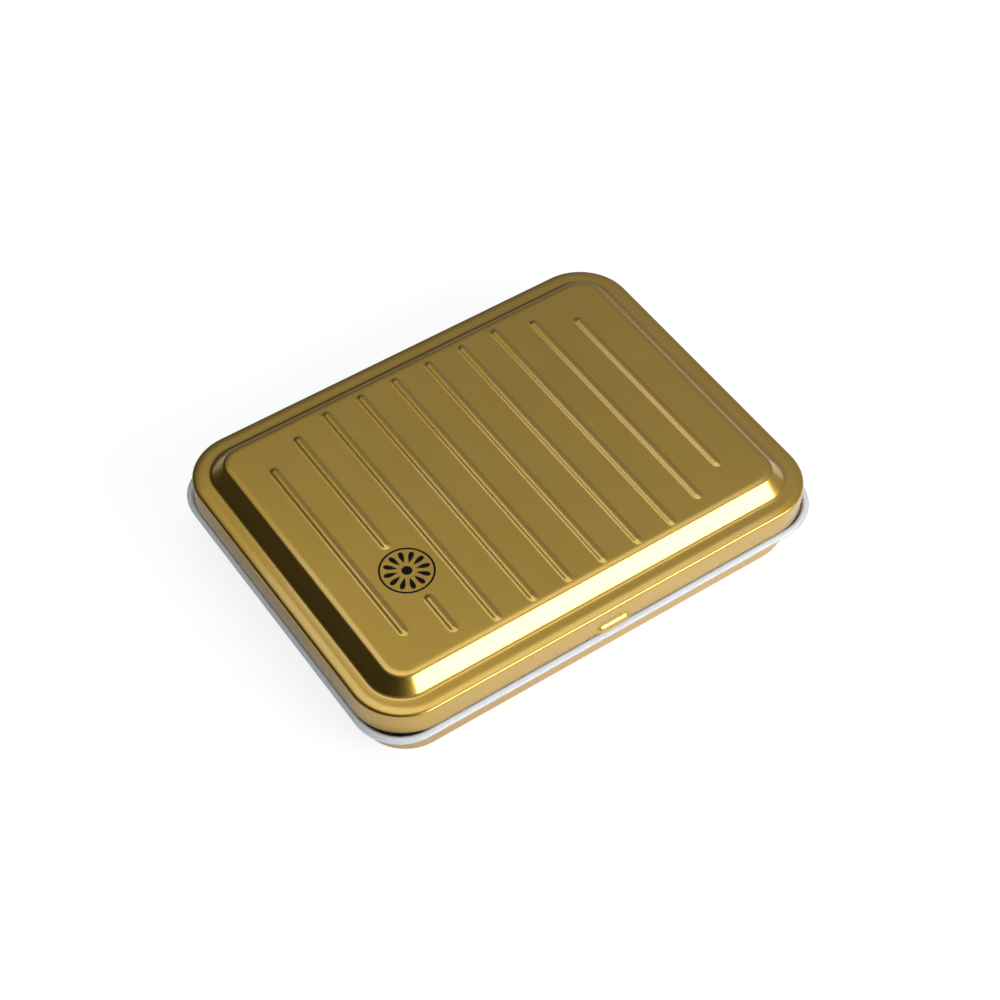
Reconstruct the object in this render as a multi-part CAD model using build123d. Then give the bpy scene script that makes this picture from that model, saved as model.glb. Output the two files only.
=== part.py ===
"""Watercolour paint tin: a drawn tinplate box for twelve half pans of colour.

The base is a shallow tapered tray whose wall ends in an outward curl. The lid is a
pressed cover with a raised, ribbed panel, and its white inside is the mixing palette.
The lid turns on two short pins that lie in the bore of the curl. Two rails of folded
sheet hold the pans, and a wire thumb ring folds into a recess in the underside.

Frame: millimetres, +Z up, origin at the middle of the face that the tin stands on.
X runs along the long side, and the front with the finger lip faces -Y.
"""
from build123d import *
import math
import os

# Half pans and their paint
pan_columns = 6
pan_width = 16.0
pan_length = 19.6
pan_height = 9.8
pan_draft = 2.5                 # degrees
pan_wall = 0.8
pan_corner_radius = 1.6
cake_drop = 1.2                 # from the rim of the pan to the edge of the paint
cake_dish_depth = 0.6           # how far the middle of the dried paint has sunk

# Room round the pans, which sets the size of the tin
pan_spacing = 1.2               # from pan to pan along a row
end_room = 8.4                  # beyond the last pan of a row
side_room = 8.2                 # beyond the rails at the front and back
trough_width = 33.6             # between the two rails, for brushes

# Lid
lid_corner_radius = 13.0
lid_skirt_height = 6.85
lid_shoulder_radius = 1.2
sheet = 0.4                     # coated tinplate, the same for lid, base and rails
hem_height = 1.6                # the skirt's edge is folded back on its inside
hem_radius = 0.35

# Raised panel of the lid
margin_width = 4.4              # flat border from the skirt to the foot of the bevel
bevel_width = 3.5
panel_rise = 3.5
bevel_foot_radius = 1.0
panel_edge_radius = 1.8

# Ribs pressed up across the panel
rib_count = 10
rib_pitch = 9.45
rib_width = 2.2
rib_rise = 0.5
rib_foot_radius = 0.5
rib_end_setback = 1.4           # from the panel's edge to the end of a long rib
rib_shift_x = -0.8              # the pattern sits a little to the left of the middle
short_rib_cuts = (8.0, 2.8)     # what the two outermost ribs lack at each end
broken_rib = 1                  # this rib, counted from the left, stops for a flat patch
patch_front_y = -22.8
patch_back_y = -5.0

# Finger lip pressed out of the front of the skirt
lip_length = 9.4
lip_radius = 1.4
lip_projection = 0.95           # as far out as the curl below it
lip_height = 2.0                # above the lower edge of the skirt

# Base tray
base_depth = 10.7               # from the standing face to the middle of the curl
base_taper_inset = 3.3          # how far the wall draws in on its way down
base_corner_radius = 10.75      # along the middle of the curl
base_floor_corner_radius = 11.0     # where the wall meets the floor, a little rounder
base_floor_radius = 1.5
curl_radius = 0.95

# Lid hinge
hinge_inset = 27.0              # from the lid's end to the middle of a knuckle
knuckle_length = 12.0
pin_seat = 5.0                  # how far a pin reaches into the curl on each side
running_clearance = 0.05        # radial, between a pin and what turns on it
body_gap = 0.3                  # between the lid and the base

# Pan rails
rail_wall_height = 5.0
pan_clearance = 0.2
tongue_width = 8.0
tongue_height = 6.0
tongue_root = 1.2               # the floor that carries a tongue, beyond its bend
tongue_tip_radius = 1.5
rail_bend_radius = 0.6
rail_corner_radius = 1.5

# Thumb ring, its strap and the recess that holds them
ring_wire = 2.0
ring_width = 25.0               # on centrelines
ring_near_radius = 3.5
ring_far_radius = 11.0
ring_end_gap = 4.0              # from the recess's end to the far side of the ring
strap_room = 10.0               # from the recess's other end to the hinge bar
strap_sheet = 0.5
strap_width = 9.0
strap_tab_length = 6.0
recess_depth = 3.6
recess_length = 38.0
recess_width = 29.6
recess_corner_radius = 6.0
recess_draft = 12.0             # degrees
recess_roof_radius = 0.8
recess_mouth_radius = 0.5
rivet_diameter = 2.0
rivet_head_diameter = 3.2
rivet_head_height = 0.7
rivet_spacing = 5.0

match = 0.001                   # how closely an edge has to lie at a stated place

# Worked out from the sizes above
pan_pitch = pan_width + pan_spacing
rail_inner_width = pan_length + 2 * pan_clearance
row_offset = trough_width / 2 + sheet + rail_inner_width / 2
lid_length = pan_columns * pan_pitch + 2 * end_room
lid_width = 2 * (row_offset + rail_inner_width / 2 + sheet + side_room)
curl_bore_radius = curl_radius - sheet
pin_radius = curl_bore_radius - running_clearance
hinge_y = lid_width / 2
hinge_z = base_depth
lid_edge_z = hinge_z + curl_radius + body_gap
margin_z = lid_edge_z + lid_skirt_height
panel_z = margin_z + panel_rise
bevel_half_angle = math.atan2(panel_rise, bevel_width) / 2
knuckle_xs = (hinge_inset - lid_length / 2, lid_length / 2 - hinge_inset)
knuckle_gap = knuckle_length + 2 * body_gap
pin_length = knuckle_gap + 2 * pin_seat
pan_floor_z = 2 * sheet         # the pans stand on the rails, the rails on the floor
rail_length = pan_columns * pan_pitch + 2 * tongue_root + sheet
strap_bore_radius = ring_wire / 2 + running_clearance
strap_outer_radius = strap_bore_radius + strap_sheet
ring_axis_z = recess_depth - strap_outer_radius
ring_bar_x = recess_length / 2 - strap_room
ring_length = recess_length - strap_room - ring_end_gap
rivet_x = ring_bar_x + strap_outer_radius + strap_tab_length / 2
rivet_places = [(rivet_x, side * rivet_spacing / 2) for side in (-1, 1)]


def plate(length, width, radius, z):
    """A rounded rectangle that lies flat at height z."""
    return Pos(0, 0, z) * RectangleRounded(length, width, radius)


def lid_plate(setback, z):
    """The lid's outline drawn in by setback, at height z."""
    return plate(lid_length - 2 * setback, lid_width - 2 * setback, lid_corner_radius - setback, z)


def edges_at(solid, z):
    """The edges of a solid that lie flat at height z."""
    return solid.edges().filter_by_position(Axis.Z, z - match, z + match)


def edges_within(solid, z, half_x, half_y):
    """The flat edges at height z that stay inside a rectangle round the origin."""
    found = []
    for edge in edges_at(solid, z):
        box = edge.bounding_box()
        reach_x = max(-box.min.X, box.max.X)
        reach_y = max(-box.min.Y, box.max.Y)
        if reach_x < half_x + match and reach_y < half_y + match:
            found.append(edge)
    return found


def bent_strip(points, bend_radius, thickness):
    """The section of a sheet that follows points with rounded bends."""
    return trace(FilletPolyline(*points, radius=bend_radius), line_width=thickness)


def round_bar(length, radius, place):
    """A bar along X with round ends, moved to place, as a list of solids to fuse."""
    straight = length - 2 * radius
    ends = [Pos(side * straight / 2, 0, 0) * Sphere(radius) for side in (-1, 1)]
    return [place * piece for piece in (Rot(0, 90, 0) * Cylinder(radius, straight), *ends)]


def rib_spans():
    """The x and the front and back ends of every rib, shorter towards the lid's sides."""
    reach = lid_width / 2 - margin_width - bevel_width - rib_end_setback
    for index in range(rib_count):
        from_edge = min(index, rib_count - 1 - index)
        cut = short_rib_cuts[from_edge] if from_edge < len(short_rib_cuts) else 0.0
        x = rib_shift_x + (index - (rib_count - 1) / 2) * rib_pitch
        ends = [cut - reach, reach - cut]
        if index == broken_rib:
            ends[1:1] = [patch_front_y, patch_back_y]
        for front, back in zip(ends[::2], ends[1::2]):
            yield x, front, back


def ribs(inset):
    """The ribs as bars that stand up through the panel, drawn in by inset.

    Inside the lid they are plain grooves, and only outside are their ends round.
    """
    crown_radius = (rib_rise**2 + (rib_width / 2) ** 2) / (2 * rib_rise)
    z = panel_z + rib_rise - crown_radius
    sunk_end = crown_radius - rib_width / 2
    bars = []
    for x, front, back in rib_spans():
        length = back - front + 2 * sunk_end - 2 * inset
        place = Pos(x, (front + back) / 2, z) * Rot(0, 0, 90)
        bar = round_bar(length, crown_radius - inset, place)
        bars += bar[:1] if inset else bar
    return bars


def finger_lip(inset):
    """The lip as a bar that stands out through the front of the skirt, drawn in by inset."""
    y = -lid_width / 2 - lip_projection + lip_radius
    place = Pos(0, y, lid_edge_z + lip_height)
    return round_bar(lip_length - 2 * inset, lip_radius - inset, place)


def lid_form(inset):
    """The lid as a filled form, drawn in on every side by inset.

    Taking the form with one sheet of inset from the form with none leaves a wall that
    is one sheet thick all over, on the bevel, the ribs and the finger lip as well.
    """
    top = margin_z - inset
    crest_z = top + panel_rise
    foot = margin_width + inset * math.tan(bevel_half_angle)
    crest = foot + bevel_width
    body = extrude(lid_plate(inset, lid_edge_z), top - lid_edge_z)
    body = fillet(edges_at(body, top), lid_shoulder_radius - inset)
    body += loft([lid_plate(foot, top), lid_plate(crest, crest_z)], ruled=True)
    bevel_foot = edges_within(body, top, lid_length / 2 - foot, lid_width / 2 - foot)
    body = fillet(bevel_foot, bevel_foot_radius + inset)
    body = fillet(edges_at(body, crest_z), panel_edge_radius - inset)
    body += ribs(inset)
    rib_half_x = lid_length / 2 - crest - panel_edge_radius / 2
    rib_half_y = lid_width / 2 - crest - panel_edge_radius / 2
    if inset == 0:
        rib_feet = edges_within(body, crest_z, rib_half_x, rib_half_y)
        body = fillet(rib_feet, rib_foot_radius)
    return body + finger_lip(inset)


def hem():
    """The fold along the skirt's lower edge: a second sheet inside the first."""
    band = lid_plate(sheet, lid_edge_z) - lid_plate(2 * sheet, lid_edge_z)
    return extrude(band, hem_height)


def knuckle(x):
    """A tongue of the skirt that curls round the hinge pin, bored to turn on it."""
    ring = Circle(curl_radius) - Circle(curl_bore_radius)
    web_foot = (curl_radius + curl_bore_radius) / 2
    web_top = lid_edge_z - hinge_z + hem_radius
    web = Pos(-sheet / 2, (web_foot + web_top) / 2) * Rectangle(sheet, web_top - web_foot)
    section = Plane(origin=(x, hinge_y, hinge_z), x_dir=(0, 1, 0), z_dir=(1, 0, 0))
    return extrude(section * (ring + web), knuckle_length / 2, both=True)


def lid_shell():
    """The pressed lid: one sheet, hemmed, with its two hinge knuckles."""
    outside = lid_form(0)
    outside = fillet(edges_at(outside, lid_edge_z), hem_radius)
    shell = outside - lid_form(sheet) + hem()
    return shell + [knuckle(x) for x in knuckle_xs]


def tray_form(inset):
    """The base as a filled tapered form, drawn in by inset, up to the curl."""
    taper = math.atan2(base_taper_inset - curl_bore_radius, base_depth)
    side_inset = inset / math.cos(taper)
    rings = []
    for setback, corner, z in (
        (base_taper_inset - inset * math.tan(taper), base_floor_corner_radius, inset),
        (curl_bore_radius, base_corner_radius - curl_bore_radius, hinge_z),
    ):
        total = setback + side_inset
        rings.append(
            plate(lid_length - 2 * total, lid_width - 2 * total, corner - side_inset, z)
        )
    form = loft(rings, ruled=True)
    return fillet(edges_at(form, inset), base_floor_radius - inset)


def recess(grow):
    """The pocket in the underside for the thumb ring, grown on every side by grow."""
    side = grow / math.cos(math.radians(recess_draft))
    mouth = RectangleRounded(
        recess_length + 2 * side, recess_width + 2 * side, recess_corner_radius + side
    )
    pocket = extrude(mouth, recess_depth + grow, taper=recess_draft)
    return fillet(edges_at(pocket, recess_depth + grow), recess_roof_radius + grow)


def curl():
    """The outward curl of the wall's upper edge, a bead that runs all round the base."""
    path = plate(lid_length, lid_width, base_corner_radius, hinge_z).wire()
    start = Plane(origin=path @ 0, z_dir=path % 0)
    return sweep(start * Circle(curl_radius), path=path)


def along_hinge(radius, length, x):
    """A cylinder on the hinge axis with its middle at x."""
    return Pos(x, hinge_y, hinge_z) * Rot(0, 90, 0) * Cylinder(radius, length)


def base_shell():
    """The drawn tray with its curl, notched for the knuckles and bored for the rivets."""
    shell = tray_form(0) - recess(0)
    mouth = edges_within(shell, 0, recess_length / 2, recess_width / 2)
    shell = fillet(mouth, recess_mouth_radius)
    cavity = tray_form(sheet) - recess(sheet)
    shell = shell - cavity + curl()
    shell -= along_hinge(curl_bore_radius, lid_length - 2 * base_corner_radius, 0)
    for x in knuckle_xs:
        shell -= along_hinge(curl_radius + body_gap, knuckle_gap, x)
    for x, y in rivet_places:
        shell -= Pos(x, y, recess_depth) * Cylinder(rivet_diameter / 2, 4 * sheet)
    return shell


def hinge_pin(x):
    """A wire pin that lies in the curl's bore and carries the knuckle between."""
    pin = along_hinge(pin_radius, pin_length, x)
    return chamfer(pin.edges().filter_by(GeomType.CIRCLE), pin_radius / 4)


def spring_tongue(x, way):
    """A tongue at x, bent up from the rail's floor, with its root on the side against way."""
    root = x - way * tongue_root
    corners = [(root, sheet / 2), (x, sheet / 2), (x, tongue_height)]
    section = bent_strip(corners, rail_bend_radius, sheet)
    tongue = extrude(Plane.XZ * section, tongue_width / 2, both=True)
    return fillet(edges_at(tongue, tongue_height).filter_by(Axis.X), tongue_tip_radius)


def pan_rail():
    """A channel of folded sheet with spring tongues cut from its floor and bent up.

    Each tongue leaves its own window in the floor beside it. The last tongue opens its
    window the other way, so that both end tongues stand outside the row of pans.
    """
    wall_x = rail_inner_width / 2 + sheet / 2
    section = [
        (-wall_x, rail_wall_height),
        (-wall_x, sheet / 2),
        (wall_x, sheet / 2),
        (wall_x, rail_wall_height),
    ]
    channel = Plane.YZ * bent_strip(section, rail_bend_radius, sheet)
    rail = extrude(channel, rail_length / 2, both=True)
    rail = fillet(edges_at(rail, rail_wall_height).filter_by(Axis.Y), rail_corner_radius)
    window = Box(tongue_height, tongue_width + 2 * pan_clearance, 2 * sheet)
    for index in range(pan_columns + 1):
        x = (index - pan_columns / 2) * pan_pitch
        way = -1 if index == pan_columns else 1
        rail = rail - Pos(x + way * tongue_height / 2, 0, sheet / 2) * window
        rail += spring_tongue(x, way)
    return rail


def pan_form(inset, floor):
    """A half pan as a filled tapered form, drawn in by inset, from floor to its rim."""
    rim = Rectangle(pan_width - 2 * inset, pan_length - 2 * inset)
    form = Pos(0, 0, pan_height) * extrude(rim, floor - pan_height, taper=pan_draft)
    upright = form.edges() - form.edges().filter_by(GeomType.LINE).filter_by(Plane.XY)
    return fillet(upright, pan_corner_radius - inset / 2)


def pan():
    """An open moulded half pan, narrower at its foot."""
    return pan_form(0, 0) - pan_form(pan_wall, pan_wall)


def paint_cake():
    """The paint cast into a pan: it fills the cup and dries with a sunken middle."""
    top = pan_height - cake_drop
    cast = split(pan_form(pan_wall, pan_wall), Plane.XY.offset(top), keep=Keep.BOTTOM)
    half_width = pan_width / 2 - pan_wall
    dish_radius = (half_width**2 + cake_dish_depth**2) / (2 * cake_dish_depth)
    return cast - Pos(0, 0, top - cake_dish_depth + dish_radius) * Sphere(dish_radius)


def thumb_ring():
    """A D of bent wire: the straight side is its hinge bar, lying along Y."""
    half = ring_width / 2
    corners = [(0, -half), (0, half), (-ring_length, half), (-ring_length, -half)]
    radii = [ring_near_radius, ring_near_radius, ring_far_radius, ring_far_radius]
    place = Pos(ring_bar_x, 0, ring_axis_z)
    path = place * FilletPolyline(*corners, radius=radii, close=True)
    start = Plane(origin=path @ 0, z_dir=path % 0)
    return sweep(start * Circle(ring_wire / 2), path=path)


def ring_strap():
    """A strip that wraps the hinge bar and lies flat under the recess, with two holes."""
    tab_length = strap_outer_radius + strap_tab_length
    tab = Pos(tab_length / 2, strap_outer_radius - strap_sheet / 2) * Rectangle(
        tab_length, strap_sheet
    )
    section = Circle(strap_outer_radius) + tab - Circle(strap_bore_radius)
    plane = Plane(origin=(ring_bar_x, 0, ring_axis_z), x_dir=(1, 0, 0), z_dir=(0, -1, 0))
    strap = extrude(plane * section, strap_width / 2, both=True)
    for x, y in rivet_places:
        strap -= Pos(x, y, recess_depth) * Cylinder(rivet_diameter / 2, 4 * sheet)
    return strap


def rivet():
    """A rivet through the strap and the recess's ceiling, headed on both sides."""
    grip = strap_sheet + sheet
    shank = Cylinder(rivet_diameter / 2, grip)
    head_radius = rivet_head_diameter / 2
    dome = (head_radius**2 + rivet_head_height**2) / (2 * rivet_head_height)
    ball = Pos(0, 0, grip / 2 + rivet_head_height - dome) * Sphere(dome)
    head = split(ball, Plane.XY.offset(grip / 2), keep=Keep.TOP)
    return shank + head + mirror(head, Plane.XY)


def parts():
    """Every sub-part by its node name, in its place at rest with the lid closed."""
    made = {"base_shell": base_shell(), "lid_shell": lid_shell()}
    for side, x in zip(("left", "right"), knuckle_xs):
        made[f"hinge_pin_{side}"] = hinge_pin(x)
    rail, cup, cake = pan_rail(), pan(), paint_cake()
    for row, y in (("front", -row_offset), ("back", row_offset)):
        made[f"pan_rail_{row}"] = Pos(0, y, sheet) * rail
        for column in range(pan_columns):
            x = (column - (pan_columns - 1) / 2) * pan_pitch
            place = Pos(x, y, pan_floor_z)
            made[f"half_pan_{row}_{column + 1}"] = place * cup
            made[f"paint_{row}_{column + 1}"] = place * cake
    made["thumb_ring"] = thumb_ring()
    made["thumb_ring_strap"] = ring_strap()
    rivet_z = recess_depth + (sheet - strap_sheet) / 2
    made["strap_rivets"] = Compound([Pos(x, y, rivet_z) * rivet() for x, y in rivet_places])
    return made


if __name__ == "__main__":
    os.makedirs("parts", exist_ok=True)
    for name, shape in parts().items():
        export_step(shape, f"parts/{name}.step")
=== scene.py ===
"""The watercolour paint tin, dressed for its picture.

The two pressed shells are made anew as thin sheets, gold lacquer outside and white
enamel inside, with the ribs pressed up by a geometry tree. The pans are instanced in
their rails by a second tree, and each cake of colour is dished and grained. The small
hardware keeps its CAD shape. Metres, Z up, in the frame of the CAD model.
"""
import math

import bmesh
import bpy
from mathutils import Matrix, Vector, noise
from mathutils.geometry import delaunay_2d_cdt


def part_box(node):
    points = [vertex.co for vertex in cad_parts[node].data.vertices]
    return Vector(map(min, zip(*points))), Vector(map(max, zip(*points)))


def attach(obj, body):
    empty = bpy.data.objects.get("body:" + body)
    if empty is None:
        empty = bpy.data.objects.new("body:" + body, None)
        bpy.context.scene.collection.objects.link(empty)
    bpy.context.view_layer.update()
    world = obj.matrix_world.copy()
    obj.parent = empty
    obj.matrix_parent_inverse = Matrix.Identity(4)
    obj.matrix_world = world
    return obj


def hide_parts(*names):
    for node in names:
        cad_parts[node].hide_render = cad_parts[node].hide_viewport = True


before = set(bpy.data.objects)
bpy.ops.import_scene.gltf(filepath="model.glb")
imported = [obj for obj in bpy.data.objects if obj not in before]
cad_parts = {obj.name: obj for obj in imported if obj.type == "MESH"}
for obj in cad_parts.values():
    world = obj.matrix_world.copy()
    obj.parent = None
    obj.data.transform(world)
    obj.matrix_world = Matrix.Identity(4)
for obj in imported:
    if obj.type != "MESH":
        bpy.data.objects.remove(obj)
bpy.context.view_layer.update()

MM = 0.001
QUARTER = math.pi / 2

# Places and sizes that the frame gives
_, lid_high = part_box("lid_shell")
pin_low, pin_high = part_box("hinge_pin_left")
pan_low, pan_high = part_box("half_pan_front_1")
far_pan_low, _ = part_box("half_pan_back_6")
half_length = lid_high.x
half_width = (pin_low.y + pin_high.y) / 2
hinge_z = (pin_low.z + pin_high.z) / 2
knuckle_x = abs(pin_low.x + pin_high.x) / 2
lid_top = lid_high.z

# The sheet and the lid. An inset is measured inwards from the lid's skirt. A break is
# where a tight bend eases into a wide one, as a part of a quarter turn.
SHEET = 0.4 * MM
MERGE_DISTANCE = 0.001 * MM
LID_CORNER = 13.0 * MM
LID_CORNER_STEPS = 16
LID_EDGE_Z = hinge_z + 1.25 * MM
HEM_HEIGHT = 1.6 * MM
HEM_GAP = 0.01 * MM
SHOULDER_RADIUS = 0.8 * MM
SHOULDER_EASE = 8.0 * MM
SHOULDER_BREAK = 76 / 90
RIB_RISE = 0.32 * MM
PANEL_RISE = 4.0 * MM - RIB_RISE
MARGIN_Z = lid_top - RIB_RISE - PANEL_RISE
PANEL_Z = MARGIN_Z + PANEL_RISE
BEVEL_FOOT = 4.4 * MM
BEVEL_CREST = 7.9 * MM
FOOT_RADIUS = 1.5 * MM
CREST_RADIUS = 1.3 * MM
CREST_EASE = 6.0 * MM
CREST_BREAK = 78 / 90
PANEL_BORDER = 0.6 * MM

# Ribs pressed up across the panel. The two ribs nearest each end are cut short, and one
# is broken by a bare patch.
RIB_COUNT = 10
RIB_PITCH = 9.45 * MM
RIB_SHIFT = -0.8 * MM
RIB_SHIFT_Y = -0.4 * MM
RIB_HALF_WIDTH = 1.4 * MM
RIB_REACH = 35.1 * MM
RIB_CUTS = (8.0 * MM, 2.8 * MM)
BROKEN_RIB = 1
PATCH = (-22.8 * MM, -5.0 * MM)

# Finger lip in the front of the skirt. Each pair is where the swell has faded out and
# where it is full, along the skirt and up it.
LIP_X = -0.3 * MM
LIP_ENDS = (5.2 * MM, 3.0 * MM)
LIP_FLANK = (3.15 * MM, 1.8 * MM)
LIP_UNDER = (0.4 * MM, 1.1 * MM)
LIP_PROJECTION = 0.92 * MM
SKIRT_DEPTH = 0.05 * MM

# Spacing of the lid's points: coarse, how far each fine stretch reaches, and fine
SKIRT_SPACING = (5.0 * MM, 1.4 * MM, 0.28 * MM)
PANEL_SPACING_X = (2.4 * MM, 1.55 * MM, 0.22 * MM)
PANEL_SPACING_Y = (1.8 * MM, 1.5 * MM, 0.3 * MM)
PANEL_CLEAR_X = 0.4 * MM
PANEL_CLEAR_Y = 0.35 * MM
PANEL_CLEAR_CORNER = 0.3 * MM
SKIRT_ROWS = 0.16 * MM
LIP_SPACING_REACH = 5.6 * MM
LIP_SPACING_CLEAR = 5.8 * MM
LIP_SPACING_STEPS = 20
SIDE_STOPS = [-0.8, -0.6, -0.4, -0.2, 0.0, 0.2, 0.4, 0.6, 0.8]

# The base tray and its curl, which ends at an angle in quarter turns
BASE_CORNER = 10.75 * MM
BASE_FLOOR_CORNER = 11.0 * MM
BASE_CORNER_STEPS = 14
TAPER_INSET = 3.3 * MM
WALL_ROWS = 1.5 * MM
FLOOR_RADIUS = 1.5 * MM
CURL_RADIUS = 0.95 * MM
CURL_BORE = 0.48 * MM
CURL_END = -1.45
NOTCH_HALF = 6.3 * MM
NOTCH_DEPTH = 3.0 * MM
NOTCH_Z = hinge_z - 1.25 * MM
KNUCKLE_HALF = 6.0 * MM
KNUCKLE_STOPS = (-1, -0.96, -0.5, 0, 0.5, 0.96, 1)
FRONT_STOPS = [-0.9, -0.8, -0.66, -0.5, -0.3, 0.0, 0.3, 0.5, 0.66, 0.8, 0.9]

# The recess under the base for the thumb ring. Its wall leans by a part of a quarter
# turn, and a centre is the inset of the middle of a bend.
RECESS_HALF_LENGTH = 19.0 * MM
RECESS_HALF_WIDTH = 14.8 * MM
RECESS_CORNER = 6.0 * MM
RECESS_DEPTH = 3.6 * MM
RECESS_LEAN = 0.13
RECESS_RADIUS = 0.8 * MM
RECESS_CENTRE = 2.0 * MM
RECESS_SHIFT = 0.43 * MM
MOUTH_RADIUS = 0.5 * MM
MOUTH_CENTRE = -0.62 * MM

# Half pans and cakes
PAN_HALF_WIDTH = (pan_high.x - pan_low.x) / 2
PAN_HALF_LENGTH = (pan_high.y - pan_low.y) / 2
PAN_HEIGHT = pan_high.z - pan_low.z
PAN_COLUMNS = 6
PAN_PITCH = (far_pan_low.x - pan_low.x) / (PAN_COLUMNS - 1)
ROW_OFFSET = (far_pan_low.y - pan_low.y) / 2
PAN_TWIST = math.radians(0.35)
PAN_SEED = 7
PAN_DRAFT = math.tan(math.radians(2.5))
PAN_WALL = 0.8 * MM
PAN_CORNER = 1.6 * MM
PAN_RIM = 0.22 * MM
PAN_FOOT_RADIUS = 0.5 * MM
PAN_INNER_RADIUS = 0.9 * MM
CAKE_DROP = 1.2 * MM
CAKE_DISH = 0.6 * MM
CAKE_CLING = 0.25 * MM
CAKE_GAP = 0.02 * MM
PAN_CORNER_STEPS = 6
CAKE_CORNER_STEPS = 5
NO_STOPS = ([], [], [], [])
CAKE_RINGS = (0.05, 0.09, 0.14, 0.2, 0.27, 0.34, 0.42, 0.5, 0.58, 0.66, 0.74, 0.82, 0.9)


# Node trees

class Wire:
    """A value in a shader. Python's operators on it add the Math nodes."""

    def __init__(self, recipe, socket):
        self.recipe = recipe
        self.socket = socket

    def __add__(self, other):
        return self.recipe.maths("ADD", self, other)

    def __sub__(self, other):
        return self.recipe.maths("SUBTRACT", self, other)

    def __rsub__(self, other):
        return self.recipe.maths("SUBTRACT", other, self)

    def __mul__(self, other):
        return self.recipe.maths("MULTIPLY", self, other)

    def __truediv__(self, other):
        return self.recipe.maths("DIVIDE", self, other)

    def __pow__(self, other):
        return self.recipe.maths("POWER", self, other)

    __radd__ = __add__
    __rmul__ = __mul__


class Recipe:
    """The nodes of one material or world, with one method that adds any of them."""

    # A colour Mix node has inputs for every kind of data, so these go by number
    MIX_FACTOR, MIX_FIRST, MIX_SECOND, MIX_RESULT = 0, 6, 7, 2

    def __init__(self, owner):
        self.owner = owner
        owner.use_nodes = True
        self.tree = owner.node_tree
        self.tree.nodes.clear()

    def add(self, kind, settings=None, inputs=None, output=0):
        node = self.tree.nodes.new(kind)
        for key, value in (settings or {}).items():
            if key == "stops":
                set_stops(node.color_ramp, value)
            else:
                setattr(node, key, value)
        for key, value in (inputs or {}).items():
            if isinstance(value, Wire):
                self.tree.links.new(value.socket, node.inputs[key])
            else:
                node.inputs[key].default_value = value
        return Wire(self, node.outputs[output]) if node.outputs else None

    def maths(self, operation, *terms):
        return self.add("ShaderNodeMath", {"operation": operation}, dict(enumerate(terms)))

    def position(self):
        """Object coordinates, in metres."""
        return self.add("ShaderNodeTexCoord", output="Object")

    def axes(self, vector):
        """The x, y and z of a vector."""
        split = self.add("ShaderNodeSeparateXYZ", inputs={"Vector": vector})
        return [Wire(self, socket) for socket in split.socket.node.outputs]

    def grain(self, vector, size, detail=3.0, rough=0.55, stretch=(1, 1, 1)):
        """Noise whose features are about size across, from 0 to 1."""
        mapped = self.add("ShaderNodeMapping", inputs={"Vector": vector, "Scale": stretch})
        return self.add(
            "ShaderNodeTexNoise",
            inputs={"Vector": mapped, "Scale": 1 / size, "Detail": detail, "Roughness": rough},
        )

    def between(self, value, low, high):
        """A smooth step of value, 0 at low and 1 at high."""
        return self.add(
            "ShaderNodeMapRange",
            {"interpolation_type": "SMOOTHSTEP"},
            {"Value": value, "From Min": low, "From Max": high},
        )

    def tint(self, factor, first, second):
        """A mix of two colours, each a list of three numbers or a wire."""
        first, second = (c if isinstance(c, Wire) else (*c, 1.0) for c in (first, second))
        return self.add(
            "ShaderNodeMix",
            {"data_type": "RGBA"},
            {self.MIX_FACTOR: factor, self.MIX_FIRST: first, self.MIX_SECOND: second},
            output=self.MIX_RESULT,
        )

    def bump(self, height, distance, strength, normal=None):
        inputs = {"Height": height, "Distance": distance, "Strength": strength}
        if normal:
            inputs["Normal"] = normal
        return self.add("ShaderNodeBump", inputs=inputs)

    def finish(self, **inputs):
        """Adds the surface, from the Principled shader's inputs with _ for spaces."""
        named = {key.replace("_", " "): value for key, value in inputs.items()}
        shader = self.add("ShaderNodeBsdfPrincipled", inputs={"IOR": 1.5, **named})
        self.add("ShaderNodeOutputMaterial", inputs={"Surface": shader})
        return self.owner


def set_stops(ramp, stops):
    while len(ramp.elements) < len(stops):
        ramp.elements.new(0.5)
    for element, (position, colour) in zip(ramp.elements, stops):
        element.position = position
        element.color = colour


# Finishes

GOLD = (0.66, 0.405, 0.05)
GOLD_PALE = (0.69, 0.43, 0.065)
GOLD_DEEP = (0.62, 0.37, 0.035)
GOLD_RUBBED = (0.72, 0.56, 0.25)
INK = (0.012, 0.010, 0.008)
ENAMEL_DULL = (0.86, 0.875, 0.90)
ENAMEL_BRIGHT = (0.90, 0.91, 0.925)
ENAMEL_STAIN = (0.55, 0.52, 0.46)
PLASTIC_DULL = (0.80, 0.80, 0.78)
PLASTIC_BRIGHT = (0.85, 0.85, 0.83)
SMEAR_STOPS = [
    (0.3, (0.35, 0.10, 0.06, 1)), (0.5, (0.10, 0.16, 0.30, 1)), (0.7, (0.20, 0.28, 0.10, 1)),
]
DRAWN_ALONG_X = (0.04, 1, 1)
NOT_DRAWN = (1, 1, 1)

# The motif printed on the lid. Each pair is a soft edge, from clear to full.
MOTIF_CENTRE = (-33.7 * MM, -14.0 * MM)
MOTIF_DROPS = 12
DROP_RING = 3.75 * MM
DROP_HALF_LENGTH = 1.6 * MM
DROP_GIRTH = 0.86 * MM
DROP_EDGE = (1.06, 0.94)
DOT_EDGE = (1.28 * MM, 1.2 * MM)
RING_RADIUS = 6.15 * MM
RING_EDGE = (0.27 * MM, 0.21 * MM)
PRINT_FLOOR = (lid_top - 2 * MM, lid_top - 1.5 * MM)


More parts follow.
